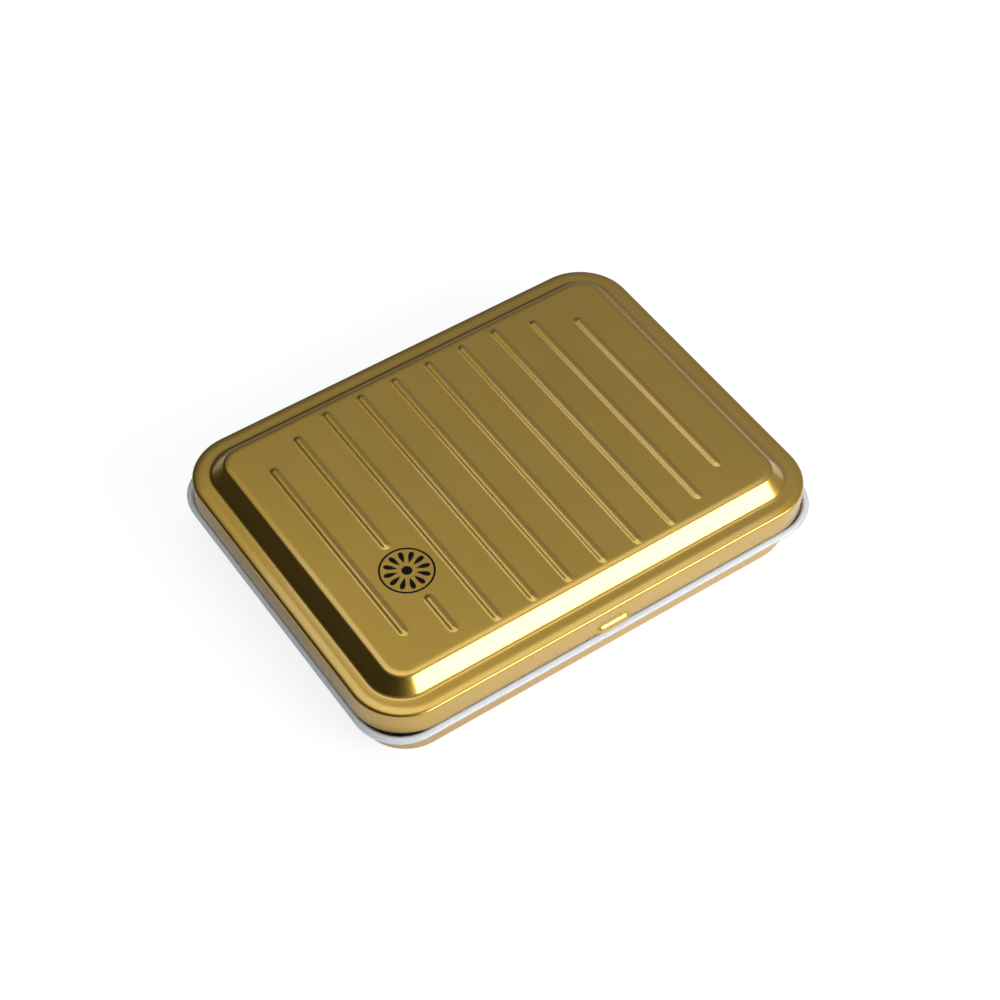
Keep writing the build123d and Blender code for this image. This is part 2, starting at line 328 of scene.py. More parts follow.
def drop_wheel(recipe, x, y):
    """A mask of small drops round a dot, inside a thin ring."""
    dx, dy = x - MOTIF_CENTRE[0], y - MOTIF_CENTRE[1]
    radius = (dx * dx + dy * dy) ** 0.5
    sector = recipe.maths("ARCTAN2", dy, dx) * (MOTIF_DROPS / math.tau)
    across = (recipe.maths("FRACT", sector) - 0.5) * (math.tau / MOTIF_DROPS) * radius
    along = (radius - DROP_RING) / DROP_HALF_LENGTH
    girth = (along * 0.42 + 0.62) * DROP_GIRTH
    drops = recipe.between(along * along + (across / girth) ** 2.0, *DROP_EDGE)
    dot = recipe.between(radius, *DOT_EDGE)
    ring = recipe.between(recipe.maths("ABSOLUTE", radius - RING_RADIUS), *RING_EDGE)
    return recipe.maths("MAXIMUM", recipe.maths("MAXIMUM", drops, dot), ring)


def gold_lacquer(name, printed):
    """Satin gold lacquer on tinplate, with the lid's motif printed in black if asked."""
    recipe = Recipe(bpy.data.materials.new(name))
    vector = recipe.position()
    cloud = recipe.grain(vector, 22 * MM, detail=2.0)
    fleck = recipe.grain(vector, 0.16 * MM, detail=1.0)
    peel = recipe.grain(vector, 0.7 * MM, detail=2.0)
    wear = recipe.between(recipe.grain(vector, 1.6 * MM, detail=5.0, rough=0.7), 0.66, 0.78)
    edge = recipe.add("ShaderNodeNewGeometry", output="Pointiness")
    rubbed = wear * recipe.between(edge, 0.52, 0.58)
    colour = recipe.tint(cloud, GOLD_DEEP, GOLD_PALE)
    colour = recipe.tint(fleck * 0.35, colour, GOLD)
    colour = recipe.tint(rubbed * 0.35, colour, GOLD_RUBBED)
    rough = 0.275 + cloud * 0.03 + fleck * 0.06 + rubbed * 0.08
    coat = 0.45
    if printed:
        x, y, z = recipe.axes(vector)
        worn = recipe.grain(vector, 0.3 * MM, detail=4.0)
        ink = drop_wheel(recipe, x, y) * recipe.between(z, *PRINT_FLOOR)
        ink = ink * recipe.between(worn, 0.18, 0.26)
        colour = recipe.tint(ink, colour, INK)
        coat = 1.0 - ink * 0.85
        rough = rough + ink * 0.2
    relief = recipe.bump(fleck, 0.008 * MM, 0.4)
    relief = recipe.bump(peel, 0.01 * MM, 0.4, relief)
    return recipe.finish(
        Base_Color=colour, Metallic=1.0, Roughness=rough, Normal=relief,
        Coat_Weight=coat, Coat_Roughness=0.09, Coat_IOR=1.66,
    )


def white_enamel():
    """Gloss white enamel, a little cloudy, with a few stained specks."""
    recipe = Recipe(bpy.data.materials.new("white_enamel"))
    vector = recipe.position()
    cloud = recipe.grain(vector, 14 * MM, detail=3.0)
    peel = recipe.grain(vector, 0.9 * MM, detail=2.0)
    speck = recipe.between(recipe.grain(vector, 0.8 * MM, detail=4.0, rough=0.7), 0.72, 0.8)
    colour = recipe.tint(cloud, ENAMEL_DULL, ENAMEL_BRIGHT)
    colour = recipe.tint(speck * 0.12, colour, ENAMEL_STAIN)
    relief = recipe.bump(peel, 0.005 * MM, 0.25)
    return recipe.finish(
        Base_Color=colour, Roughness=0.16 + cloud * 0.1 + speck * 0.2, Normal=relief,
        Coat_Weight=0.3, Coat_Roughness=0.06,
    )


def bare_metal(name, colour, dark, rough, stretch, size):
    """Bare or plated metal with draw lines along one way and dull spots."""
    recipe = Recipe(bpy.data.materials.new(name))
    vector = recipe.position()
    lines = recipe.grain(vector, size, detail=4.0, stretch=stretch)
    cloud = recipe.grain(vector, 3.5 * MM, detail=4.0, rough=0.65)
    spots = recipe.between(cloud, 0.55, 0.75)
    tone = recipe.tint(lines, dark, colour)
    tone = recipe.tint(spots * 0.35, tone, dark)
    relief = recipe.bump(lines, 0.008 * MM, 0.3)
    return recipe.finish(
        Base_Color=tone, Metallic=1.0, Roughness=rough + lines * 0.1 + spots * 0.14,
        Normal=relief,
    )


def pan_plastic():
    """White moulded plastic with a faint flow pattern and paint smears near the rims."""
    recipe = Recipe(bpy.data.materials.new("white_pan_plastic"))
    vector = recipe.position()
    flow = recipe.grain(vector, 6 * MM, detail=3.0)
    fine = recipe.grain(vector, 0.25 * MM, detail=2.0)
    smear = recipe.between(recipe.grain(vector, 2.4 * MM, detail=5.0, rough=0.7), 0.6, 0.72)
    height = recipe.axes(vector)[2]
    high = recipe.between(height, pan_high.z - 2.2 * MM, pan_high.z - 0.4 * MM)
    paint = recipe.add(
        "ShaderNodeValToRGB", {"stops": SMEAR_STOPS},
        {"Fac": recipe.grain(vector, 19 * MM, detail=1.0)},
    )
    colour = recipe.tint(flow, PLASTIC_DULL, PLASTIC_BRIGHT)
    colour = recipe.tint(smear * high * 0.22, colour, paint)
    relief = recipe.bump(fine, 0.01 * MM, 0.25)
    return recipe.finish(Base_Color=colour, Roughness=0.34 + fine * 0.08, Normal=relief)


def cake_colour(name, rgb):
    """A dried cake of watercolour: fine grained, with painted shade darkening its cracks here
    and there.
    """
    recipe = Recipe(bpy.data.materials.new(name))
    vector = recipe.position()
    cloud = recipe.grain(vector, 3.2 * MM, detail=4.0)
    fine = recipe.grain(vector, 0.22 * MM, detail=4.0, rough=0.65)
    pit = recipe.add(
        "ShaderNodeTexVoronoi", {"feature": "DISTANCE_TO_EDGE"},
        {"Vector": vector, "Scale": 1 / (1.7 * MM), "Randomness": 1.0},
    )
    shaded_crack = recipe.between(pit, 0.035, 0.0) * recipe.between(cloud, 0.5, 0.62)
    deep = tuple(0.6 * c for c in rgb)
    pale = tuple(min(1.0, 1.12 * c + 0.015) for c in rgb)
    colour = recipe.tint(cloud, deep, pale)
    # painted shade: the cracks' colour is darkened to stand in for the shade inside them
    colour = recipe.tint(shaded_crack * 0.7, colour, tuple(0.25 * c for c in rgb))
    rough = 0.42 + cloud * 0.2 - shaded_crack * 0.1
    relief = recipe.bump(fine, 0.05 * MM, 0.5)
    relief = recipe.bump(1.0 - shaded_crack, 0.08 * MM, 0.6, relief)
    return recipe.finish(Base_Color=colour, Roughness=rough, Normal=relief)


lid_gold = gold_lacquer("gold_lacquer_lid", True)
base_gold = gold_lacquer("gold_lacquer_base", False)
enamel = white_enamel()
plastic = pan_plastic()
rail_metal = bare_metal(
    "tinplate", (0.74, 0.74, 0.72), (0.55, 0.55, 0.53),
    rough=0.24, stretch=DRAWN_ALONG_X, size=0.12 * MM,
)
pin_metal = bare_metal(
    "drawn_wire", (0.62, 0.60, 0.56), (0.42, 0.40, 0.37),
    rough=0.26, stretch=DRAWN_ALONG_X, size=0.08 * MM,
)
nickel = bare_metal(
    "nickel_plate", (0.78, 0.76, 0.72), (0.60, 0.57, 0.52),
    rough=0.14, stretch=NOT_DRAWN, size=0.4 * MM,
)


# Sheet shapes

def spread(low, high, step):
    """Places from low to high, both left out, about a step apart."""
    count = max(1, round((high - low) / step))
    return [low + (high - low) * i / count for i in range(1, count)]


def turn(half_x, half_y, corner, z, stops, steps):
    """One turn of a rounded rectangle at height z, with this many steps to a corner.

    stops are fractions from -1 to 1 along the back, left, front and right sides, where
    1 is the end of the straight stretch. Every turn with the same stops and steps has
    as many points, so turns can be skinned one after another.
    """
    core_x, core_y = half_x - corner, half_y - corner
    back, left, front, right = stops
    sides = (
        [(core_x * -t, half_y) for t in back],
        [(-half_x, core_y * -t) for t in left],
        [(core_x * t, -half_y) for t in front],
        [(half_x, core_y * t) for t in right],
    )
    points = []
    for quarter, (sign_x, sign_y) in enumerate(((1, 1), (-1, 1), (-1, -1), (1, -1))):
        for step in range(steps + 1):
            angle = (quarter + step / steps) * QUARTER
            points.append((
                sign_x * core_x + corner * math.cos(angle),
                sign_y * core_y + corner * math.sin(angle),
                z,
            ))
        points += [(x, y, z) for x, y in sides[quarter]]
    return points


def skin(turns):
    """Points and faces that join each turn to the next."""
    count = len(turns[0])
    points = [p for one in turns for p in one]
    faces = []
    for level in range(len(turns) - 1):
        low, high = level * count, (level + 1) * count
        for i in range(count):
            j = (i + 1) % count
            faces.append((low + i, low + j, high + j, high + i))
    return points, faces


def arc(centre, radius, start, end, steps):
    """Points (inset, z) on an arc, with angles in quarter turns from outward to up."""
    found = []
    for step in range(steps + 1):
        angle = (start + (end - start) * step / steps) * QUARTER
        found.append((
            centre[0] - radius * math.cos(angle), centre[1] + radius * math.sin(angle),
        ))
    return found


def new_object(name, points, faces, materials, edges=()):
    mesh = bpy.data.meshes.new(name)
    mesh.from_pydata(points, edges, faces)
    mesh.update()
    for material in materials:
        mesh.materials.append(material)
    obj = bpy.data.objects.new(name, mesh)
    bpy.context.scene.collection.objects.link(obj)
    return obj


def tidy(obj, angle=None, recalculate=False):
    """Merges doubles and shades smooth, creased above angle degrees if one is given."""
    work = bmesh.new()
    work.from_mesh(obj.data)
    bmesh.ops.remove_doubles(work, verts=work.verts, dist=MERGE_DISTANCE)
    if recalculate:
        bmesh.ops.recalc_face_normals(work, faces=work.faces)
    for face in work.faces:
        face.smooth = True
    if angle is not None:
        crease = math.radians(angle)
        for edge in work.edges:
            edge.smooth = edge.is_manifold and edge.calc_face_angle(math.pi) < crease
    work.to_mesh(obj.data)
    work.free()
    return obj


def settled(obj):
    """The object with its modifiers turned into plain mesh."""
    graph = bpy.context.evaluated_depsgraph_get()
    mesh = bpy.data.meshes.new_from_object(obj.evaluated_get(graph), depsgraph=graph)
    obj.modifiers.clear()
    obj.data = mesh
    return obj


def thicken(obj):
    """Gives a sheet its gauge, behind its face, in the second of its finishes."""
    gauge = obj.modifiers.new("gauge", "SOLIDIFY")
    gauge.thickness = SHEET
    gauge.offset = -1.0
    gauge.use_even_offset = True
    gauge.use_quality_normals = True
    gauge.material_offset = 1
    gauge.material_offset_rim = 1
    return settled(obj)


# Geometry trees

class Tree:
    """A geometry tree under construction, with named inputs."""

    def __init__(self, name, inputs):
        self.tree = bpy.data.node_groups.new(name, "GeometryNodeTree")
        interface = self.tree.interface
        self.identifiers = {}
        for label, kind in [("Geometry", "NodeSocketGeometry"), *inputs]:
            made = interface.new_socket(label, in_out="INPUT", socket_type=kind)
            self.identifiers[label] = made.identifier
        interface.new_socket("Geometry", in_out="OUTPUT", socket_type="NodeSocketGeometry")
        self.source = self.tree.nodes.new("NodeGroupInput")

    def given(self, label):
        return self.source.outputs[label]

    def add(self, kind, settings=None, inputs=None, output=0):
        node = self.tree.nodes.new(kind)
        for key, value in (settings or {}).items():
            setattr(node, key, value)
        for key, value in (inputs or {}).items():
            if isinstance(value, bpy.types.NodeSocket):
                self.tree.links.new(value, node.inputs[key])
            else:
                node.inputs[key].default_value = value
        return node.outputs[output]

    def maths(self, operation, *terms):
        return self.add("ShaderNodeMath", {"operation": operation}, dict(enumerate(terms)))

    def end(self, geometry, material):
        """Closes the tree with Realize Instances and Set Material."""
        real = self.add("GeometryNodeRealizeInstances", inputs={"Geometry": geometry})
        dressed = self.add(
            "GeometryNodeSetMaterial", inputs={"Geometry": real, "Material": material}
        )
        outlet = self.tree.nodes.new("NodeGroupOutput")
        self.tree.links.new(dressed, outlet.inputs["Geometry"])

    def run(self, obj, **values):
        """Puts the tree on obj with these inputs and turns the result into mesh."""
        modifier = obj.modifiers.new(self.tree.name, "NODES")
        modifier.node_group = self.tree
        for label, value in values.items():
            modifier[self.identifiers[label.replace("_", " ")]] = value
        return settled(obj)


def press_ribs_tree():
    """Lifts the sheet near each rib's line, most on the line itself."""
    tree = Tree("press_ribs", [
        ("Lines", "NodeSocketObject"),
        ("Half Width", "NodeSocketFloat"),
        ("Rise", "NodeSocketFloat"),
    ])
    lines = tree.add(
        "GeometryNodeObjectInfo", inputs={"Object": tree.given("Lines")}, output="Geometry"
    )
    distance = tree.add(
        "GeometryNodeProximity", {"target_element": "EDGES"}, {0: lines}, output="Distance"
    )
    lift = tree.add("ShaderNodeMapRange", {"interpolation_type": "SMOOTHERSTEP"}, {
        "Value": distance, "From Min": 0.0, "From Max": tree.given("Half Width"),
        "To Min": tree.given("Rise"), "To Max": 0.0,
    })
    offset = tree.add("ShaderNodeCombineXYZ", inputs={"Z": lift})
    pressed = tree.add(
        "GeometryNodeSetPosition", inputs={"Geometry": tree.given("Geometry"), "Offset": offset}
    )
    tree.end(pressed, lid_gold)
    return tree


def pan_rows_tree():
    """Stands one pan on every place of a grid, each turned a hair in its clips."""
    tree = Tree("pan_rows", [
        ("Columns", "NodeSocketInt"),
        ("Pitch", "NodeSocketFloat"),
        ("Row Offset", "NodeSocketFloat"),
        ("Twist", "NodeSocketFloat"),
        ("Seed", "NodeSocketInt"),
    ])
    spaces = tree.maths("SUBTRACT", tree.given("Columns"), 1.0)
    grid = tree.add("GeometryNodeMeshGrid", inputs={
        "Size X": tree.maths("MULTIPLY", spaces, tree.given("Pitch")),
        "Size Y": tree.maths("MULTIPLY", tree.given("Row Offset"), 2.0),
        "Vertices X": tree.given("Columns"),
        "Vertices Y": 2,
    })
    other_way = tree.maths("MULTIPLY", tree.given("Twist"), -1.0)
    least = tree.add("ShaderNodeCombineXYZ", inputs={"Z": other_way})
    most = tree.add("ShaderNodeCombineXYZ", inputs={"Z": tree.given("Twist")})
    twist = tree.add(
        "FunctionNodeRandomValue", {"data_type": "FLOAT_VECTOR"},
        {0: least, 1: most, "Seed": tree.given("Seed")},
    )
    pans = tree.add("GeometryNodeInstanceOnPoints", inputs={
        "Points": grid, "Instance": tree.given("Geometry"), "Rotation": twist,
    })
    tree.end(pans, plastic)
    return tree


# The lid

def rib_spans():
    """The x and the two ends of every pressed rib."""
    for index in range(RIB_COUNT):
        from_edge = min(index, RIB_COUNT - 1 - index)
        cut = RIB_CUTS[from_edge] if from_edge < len(RIB_CUTS) else 0.0
        x = RIB_SHIFT + (index - (RIB_COUNT - 1) / 2) * RIB_PITCH
        ends = [cut - RIB_REACH, RIB_REACH - cut]
        if index == BROKEN_RIB:
            ends[1:1] = PATCH
        for front, back in zip(ends[::2], ends[1::2]):
            yield x, front + RIB_SHIFT_Y, back + RIB_SHIFT_Y


def rib_lines():
    """An object with one edge along the middle of every rib."""
    points = [(x, end, PANEL_Z) for x, *ends in rib_spans() for end in ends]
    edges = [(i, i + 1) for i in range(0, len(points), 2)]
    return new_object("rib_lines", points, [], [], edges)


def grid_places(low, high, spots, coarse, reach, fine):
    """Places from low to high, a coarse step apart, and finer within reach of each spot."""
    count = round((high - low) / coarse)
    places = [low + (high - low) * i / count for i in range(count + 1)]
    places = [p for p in places if all(abs(p - spot) > reach + fine / 2 for spot in spots)]
    steps = round(reach / fine)
    for spot in spots:
        places += [spot + reach * i / steps for i in range(-steps, steps + 1)]
    return sorted(p for p in places if low <= p <= high)


def rolled_edge(start, turn_over, tight, wide, level_inset, level_z):
    """A tight bend that eases into a wide one, which ends level at level_inset."""
    lean = turn_over * QUARTER
    join = (level_inset - wide * math.cos(lean), level_z - wide + wide * math.sin(lean))
    inner = (join[0] + tight * math.cos(lean), join[1] - tight * math.sin(lean))
    eased_part = arc((level_inset, level_z - wide), wide, turn_over, 1, 6)
    return arc(inner, tight, start, turn_over, 7)[:-1] + eased_part


def lid_profile():
    """(inset, z) of the lid's gold face, from inside the hem up to the panel's edge."""
    fold = SHEET + HEM_GAP
    profile = [(2 * fold, LID_EDGE_Z + HEM_HEIGHT), (2 * fold, LID_EDGE_Z + HEM_HEIGHT / 2)]
    profile += arc((fold, LID_EDGE_Z + fold), fold, 2, 4, 8)
    lean = SHOULDER_BREAK * QUARTER
    shoulder_inset = SHOULDER_RADIUS * (1 - math.cos(lean)) + SHOULDER_EASE * math.cos(lean)
    shoulder = rolled_edge(
        0, SHOULDER_BREAK, SHOULDER_RADIUS, SHOULDER_EASE, shoulder_inset, MARGIN_Z
    )
    profile += [(0.0, z) for z in spread(LID_EDGE_Z + fold, shoulder[0][1], SKIRT_ROWS)]
    profile += shoulder
    foot_reach = FOOT_RADIUS * math.tan(QUARTER / 4)
    foot_centre = (BEVEL_FOOT - foot_reach, MARGIN_Z + FOOT_RADIUS)
    profile += arc(foot_centre, FOOT_RADIUS, 3, 2.5, 6)
    lean = CREST_BREAK * QUARTER
    half = math.sqrt(0.5)
    panel_inset = (
        BEVEL_CREST - CREST_EASE * (1 - math.sin(lean)) - CREST_RADIUS * (math.sin(lean) - half)
        + (CREST_EASE - CREST_RADIUS) * math.cos(lean) + CREST_RADIUS * half
    )
    profile += rolled_edge(0.5, CREST_BREAK, CREST_RADIUS, CREST_EASE, panel_inset, PANEL_Z)
    return [*profile, (panel_inset + PANEL_BORDER, PANEL_Z)]


def skirt_stops(rib_xs):
    """Where the lid's points stand along its back, left, front and right sides."""
    core = half_length - LID_CORNER
    places = grid_places(-core, core, [x for x in rib_xs if abs(x) < core], *SKIRT_SPACING)
    lip_places = [
        LIP_X + LIP_SPACING_REACH * i / LIP_SPACING_STEPS
        for i in range(-LIP_SPACING_STEPS, LIP_SPACING_STEPS + 1)
    ]
    clear = [x for x in places if abs(x - LIP_X) > LIP_SPACING_CLEAR]
    inside = core - 0.1 * MM
    front = sorted(x / core for x in [*clear, *lip_places] if abs(x) < inside)
    back = sorted(x / core for x in places if abs(x) < inside)
    return back, SIDE_STOPS, front, SIDE_STOPS


def panel_sheet(rim, corner, rib_xs):
    """Points and triangles that fill the panel's rim, closest together along the ribs."""
    half_x, half_y = rim[0][0], max(p[1] for p in rim)
    core_x, core_y = half_x - corner, half_y - corner
    inner_x, inner_y = half_x - PANEL_CLEAR_X, half_y - PANEL_CLEAR_Y
    rib_ends = sorted({end for _, *ends in rib_spans() for end in ends})
    xs = grid_places(-inner_x, inner_x, rib_xs, *PANEL_SPACING_X)
    ys = grid_places(-inner_y, inner_y, rib_ends, *PANEL_SPACING_Y)
    flat = [Vector(p[:2]) for p in rim]
    for x in xs:
        for y in ys:
            out = Vector((max(abs(x) - core_x, 0), max(abs(y) - core_y, 0))).length
            if out < corner - PANEL_CLEAR_CORNER:
                flat.append(Vector((x, y)))
    loop = [(i, (i + 1) % len(rim)) for i in range(len(rim))]
    found, _, triangles, *_ = delaunay_2d_cdt(flat, loop, [], 1, 1e-9)
    return [(p.x, p.y, PANEL_Z) for p in found], triangles


def eased(value, low, high):
    """A smooth step of value, 0 at low and 1 at high, whichever is the larger."""
    t = min(1.0, max(0.0, (value - low) / (high - low)))
    return t * t * (3 - 2 * t)


def pressed_lip(point):
    """Moves a point of the front skirt out to the finger lip, a ledge with a sloping top."""
    x, y, z = point
    if y > -half_width + SKIRT_DEPTH or z > MARGIN_Z - SHOULDER_RADIUS:
        return point
    height = z - LID_EDGE_Z
    swell = eased(abs(x - LIP_X), *LIP_ENDS)
    swell = swell * eased(height, *LIP_FLANK) * eased(height, *LIP_UNDER)
    return x, y - LIP_PROJECTION * swell, z


def lid_cover():
    """The lid, one sheet with its hem, shoulder, bevel, panel, ribs and finger lip."""
    rib_xs = sorted({x for x, _, _ in rib_spans()})
    stops = skirt_stops(rib_xs)
    profile = lid_profile()
    turns = [
        turn(
            half_length - inset, half_width - inset, LID_CORNER - inset, z,
            stops, LID_CORNER_STEPS,
        )
        for inset, z in profile
    ]
    points, faces = skin(turns)
    panel_points, triangles = panel_sheet(turns[-1], LID_CORNER - profile[-1][0], rib_xs)
    start = len(points)
    points += panel_points
    faces += [[start + i for i in triangle] for triangle in triangles]
    points = [pressed_lip(p) for p in points]
    lid = tidy(new_object("lid_cover", points, faces, [lid_gold, enamel]))
    lines = rib_lines()
    press_ribs_tree().run(lid, Lines=lines, Half_Width=RIB_HALF_WIDTH, Rise=RIB_RISE)
    bpy.data.objects.remove(lines)
    return thicken(lid)


def lid_knuckles():
    """The two tongues of the skirt that wrap the hinge pins."""
    path = [
        (half_width - 0.02 * MM, LID_EDGE_Z + 1.2 * MM),
        (half_width, LID_EDGE_Z + 0.4 * MM),
        (half_width, LID_EDGE_Z),
        (half_width + 0.03 * MM, hinge_z + 1.08 * MM),
    ]
    # round the back of the pin, under it and up its front, nine degrees at a time
    for degrees in range(78, -247, -9):
        angle = math.radians(degrees)
        path.append((
            half_width + CURL_RADIUS * math.cos(angle), hinge_z + CURL_RADIUS * math.sin(angle),
        ))
    points, faces = [], []
    for middle in (-knuckle_x, knuckle_x):
        xs = [middle + KNUCKLE_HALF * t for t in KNUCKLE_STOPS]
        start = len(points)
        points += [(x, y, z) for y, z in path for x in xs]
        for row in range(len(path) - 1):
            for column in range(len(xs) - 1):
                a = start + row * len(xs) + column
                faces.append((a, a + 1, a + len(xs) + 1, a + len(xs)))
    return thicken(tidy(new_object("lid_knuckles", points, faces, [lid_gold, enamel])))


# The base

def base_corner(inset, z):
    """The corner radius of the tray at this inset, a little rounder towards the floor."""
    extra = (BASE_FLOOR_CORNER - BASE_CORNER + TAPER_INSET) * (1 - z / hinge_z)
    return BASE_CORNER - inset + extra


def recess_rows():
    """(inset, z) of the recess, from its ceiling down to its mouth."""
    centre = (RECESS_CENTRE, RECESS_DEPTH - RECESS_RADIUS)
    wall = arc(centre, RECESS_RADIUS, 1, RECESS_LEAN, 5)
    wall = [(inset - RECESS_SHIFT, z) for inset, z in wall]
    return wall + arc((MOUTH_CENTRE, MOUTH_RADIUS), -MOUTH_RADIUS, RECESS_LEAN, 1, 5)


def tray_rows():
    """(inset, z) of the tray, from its floor's edge up the wall and round the curl.

    The number with them counts the rows below the hinge's notches.
    """
    slope = (TAPER_INSET - CURL_BORE) / hinge_z
    tilt = math.atan(slope)
    foot_z = FLOOR_RADIUS * (1 - math.sin(tilt))
    foot_inset = TAPER_INSET - slope * foot_z
    centre = (foot_inset + FLOOR_RADIUS * math.cos(tilt), FLOOR_RADIUS)
    rows = arc(centre, FLOOR_RADIUS, -1, -tilt / QUARTER, 8)
    wall = spread(rows[-1][1], NOTCH_Z, WALL_ROWS)
    below_notch = len(rows) + len(wall)
    wall += [NOTCH_Z, NOTCH_Z + 0.5 * MM, hinge_z - 0.1 * MM]
    rows += [(TAPER_INSET - slope * z, z) for z in wall]
    return rows + arc((0.0, hinge_z), -CURL_BORE, 2, CURL_END, 22), below_notch


def base_tray():
    """The tray with its recess, its curl, and a notch in the curl for each knuckle."""
    core = half_length - BASE_CORNER
    notch = [
        side * (knuckle_x + edge * NOTCH_HALF) / core
        for side in (-1, 1) for edge in (-1, -0.9, 0.9, 1)
    ]
    stops = (sorted([*notch, 0.0, -0.3, 0.3]), SIDE_STOPS, FRONT_STOPS, SIDE_STOPS)
    recess = recess_rows()
    tray, below_notch = tray_rows()
    turns = [
        turn(
            RECESS_HALF_LENGTH - inset, RECESS_HALF_WIDTH - inset, RECESS_CORNER - inset, z,
            stops, BASE_CORNER_STEPS,
        )
        for inset, z in recess
    ]
    turns += [
        turn(
            half_length - inset, half_width - inset, base_corner(inset, min(z, hinge_z)), z,
            stops, BASE_CORNER_STEPS,
        )
        for inset, z in tray
    ]
    points, faces = skin(turns)
    count = len(turns[0])
    ceiling = tuple(range(count))[::-1]
    kept = [ceiling]
    for face in faces:
        level = min(face) // count
        middle = sum((Vector(points[i]) for i in face), Vector()) / 4
        beside_knuckle = abs(abs(middle.x) - knuckle_x) < NOTCH_HALF
        at_back = middle.y >= half_width - NOTCH_DEPTH
        if level < len(recess) + below_notch or not (beside_knuckle and at_back):
            kept.append(face)
    return thicken(tidy(new_object("base_tray", points, kept, [base_gold, enamel])))


# Pans and cakes

def closed_stack(turns):
    """Points and faces of a solid from a stack of turns, closed flat at both ends."""
    points, faces = skin(turns)
    count = len(turns[0])
    faces.append(tuple(range(count))[::-1])
    faces.append(tuple(range(len(points) - count, len(points))))
    return points, faces


def half_pans():
    """All twelve half pans, instanced on the two rails."""
    foot_centre = (PAN_DRAFT * PAN_HEIGHT + PAN_FOOT_RADIUS, PAN_FOOT_RADIUS)
    rows = arc(foot_centre, PAN_FOOT_RADIUS, -1, 0, 5)
    rows += [(PAN_DRAFT * down * MM, PAN_HEIGHT - down * MM) for down in (4, 1)]
    rows += arc((PAN_RIM, PAN_HEIGHT - PAN_RIM), PAN_RIM, 0, 1, 4)
    rows += arc((PAN_WALL - PAN_RIM, PAN_HEIGHT - PAN_RIM), PAN_RIM, 1, 2, 4)
    inner_foot = PAN_WALL + PAN_DRAFT * (PAN_HEIGHT - 2 * MM)
    inner_centre = (inner_foot + PAN_INNER_RADIUS, PAN_WALL + PAN_INNER_RADIUS)
    rows += arc(inner_centre, PAN_INNER_RADIUS, 0, -1, 4)
    turns = [
        turn(
            PAN_HALF_WIDTH - inset, PAN_HALF_LENGTH - inset,
            max(PAN_CORNER - inset / 2, 0.5 * MM), z, NO_STOPS, PAN_CORNER_STEPS,
        )
        for inset, z in rows
    ]
    pan = tidy(new_object("half_pans", *closed_stack(turns), [plastic]), 50, recalculate=True)
    pan_rows_tree().run(
        pan, Columns=PAN_COLUMNS, Pitch=PAN_PITCH, Row_Offset=ROW_OFFSET,
        Twist=PAN_TWIST, Seed=PAN_SEED,
    )
    pan.data.transform(Matrix.Translation((0, 0, pan_low.z)))
    for polygon in pan.data.polygons:
        polygon.use_smooth = True
    return pan


def dished(point, half_x, half_y, seed, used):
    """Moves a point of a cake's top down into its dish and the hollow that a brush wore."""
    x, y, z = point
    spot_x = math.sin(seed * 2.4) * 0.3 * half_x
    spot_y = math.cos(seed * 1.7) * 0.35 * half_y
    across = (abs(x) / half_x) ** 2.6 + (abs(y) / half_y) ** 2.6
    dish = CAKE_DISH * (1 - min(across, 1.0)) ** 0.8
    cling = CAKE_CLING * min(across, 1.0) ** 9
    spot_out = ((x - spot_x) / (0.42 * half_x)) ** 2 + ((y - spot_y) / (0.4 * half_y)) ** 2
    brushed = math.exp(-spot_out)
    grainy = noise.noise(Vector((x, y, seed * 0.01)) / (2.2 * MM)) * 0.07 * MM
    grainy += noise.noise(Vector((x, y, seed * 0.02)) / (0.8 * MM)) * 0.03 * MM
    inner = min(1.0, 6 * (1 - min(across, 1.0)))
    return x, y, z - dish + cling - used * brushed * inner * MM + grainy * inner


def cake(name, low, high, material, seed, used):
    """One dried cake in its pan: a low rim where it clings, a dish, and brushed hollows."""
    middle = Vector(((low.x + high.x) / 2, (low.y + high.y) / 2))
    top = pan_high.z - CAKE_DROP
    base = PAN_WALL + CAKE_GAP
    half_x, half_y = PAN_HALF_WIDTH - base, PAN_HALF_LENGTH - base
    corner = PAN_CORNER - base / 2
    stops = ([i / 7 for i in range(-6, 7)],) * 4
    below = pan_high.z - top
    edge = PAN_DRAFT * below
    rows = [
        (PAN_DRAFT * (top - z + below), z, 0.3 * MM)
        for z in (low.z + 0.3 * MM, top - 1.5 * MM, top - 0.12 * MM)
    ]
    first_top = len(rows)
    insets = [edge + 0.05 * MM, edge + 0.2 * MM, *(edge + t * half_x for t in CAKE_RINGS)]
    rows += [(inset, top, 0.05 * MM) for inset in insets]
    turns = [
        turn(
            half_x - inset, half_y - inset, max(corner - inset, least), z,
            stops, CAKE_CORNER_STEPS,
        )
        for inset, z, least in rows
    ]
    points, faces = closed_stack(turns)
    first_top *= len(turns[0])
    shaped = points[:first_top]
    shaped += [dished(point, half_x, half_y, seed, used) for point in points[first_top:]]
    shaped = [(x + middle.x, y + middle.y, z) for x, y, z in shaped]
    return tidy(new_object(name, shaped, faces, [material]), 60, recalculate=True)


# Making and joining to the frame

lid = lid_cover()
knuckles = lid_knuckles()
tray = base_tray()
pans = half_pans()
for piece, node, body in (
    (lid, "lid_shell", "lid"), (knuckles, "lid_shell", "lid"), (tray, "base_shell", "base"),
):
    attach(piece, body)
    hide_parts(node)
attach(pans, "base")
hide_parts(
    *[f"half_pan_{row}_{i + 1}" for row in ("front", "back") for i in range(PAN_COLUMNS)]
)

